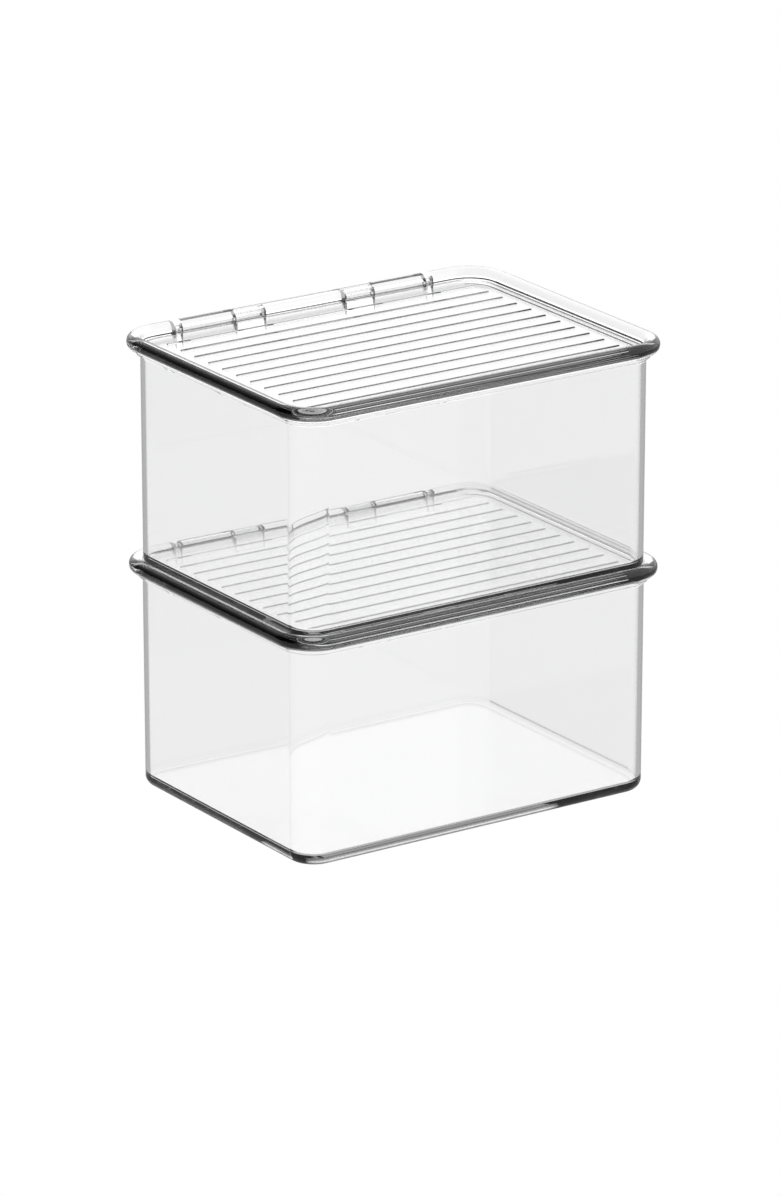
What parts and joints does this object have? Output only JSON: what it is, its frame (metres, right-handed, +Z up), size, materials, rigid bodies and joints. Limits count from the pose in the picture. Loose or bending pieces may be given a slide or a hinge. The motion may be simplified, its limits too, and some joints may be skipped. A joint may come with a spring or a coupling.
{
  "type": "stackable storage bin",
  "caption": "Clear lidded storage bins, one stacked on the other, each with a rolled-rim ribbed lid hinged at the back on pins, whose recess seats the bin above",
  "frame": {"origin": "Middle of the lid outline, on the surface that the lower bin stands on", "axes": "+X along the long side, +Y towards the hinges at the back, +Z up"},
  "size_m": [0.184, 0.141, 0.1949],
  "materials": {
    "tub_plastic": "clear polished polystyrene, colourless",
    "lid_plastic": "clear polished polystyrene, colourless",
    "pin_plastic": "clear acrylic rod, lightly frosted ends"
  },
  "bodies": {
    "lower_tub": {"lower_tub": "tub_plastic", "lower_hinge_pin_left": "pin_plastic", "lower_hinge_pin_right": "pin_plastic"},
    "lower_lid": {"lower_lid": "lid_plastic"},
    "upper_tub": {"upper_tub": "tub_plastic", "upper_hinge_pin_left": "pin_plastic", "upper_hinge_pin_right": "pin_plastic"},
    "upper_lid": {"upper_lid": "lid_plastic"}
  },
  "joints": [
    {"name": "lower_lid_hinge", "type": "hinge", "parent": "lower_tub", "child": "lower_lid", "pos_m": [0, 0.0677, 0.095], "axis": [-1, 0, 0], "range_deg": [0, 100]},
    {"name": "upper_bin_lift", "type": "slide", "parent": "lower_lid", "child": "upper_tub", "axis": [0, 0, 1], "range_m": [0, 0.1]},
    {"name": "upper_lid_hinge", "type": "hinge", "parent": "upper_tub", "child": "upper_lid", "pos_m": [0, 0.0677, 0.1905], "axis": [-1, 0, 0], "range_deg": [0, 100]}
  ]
}
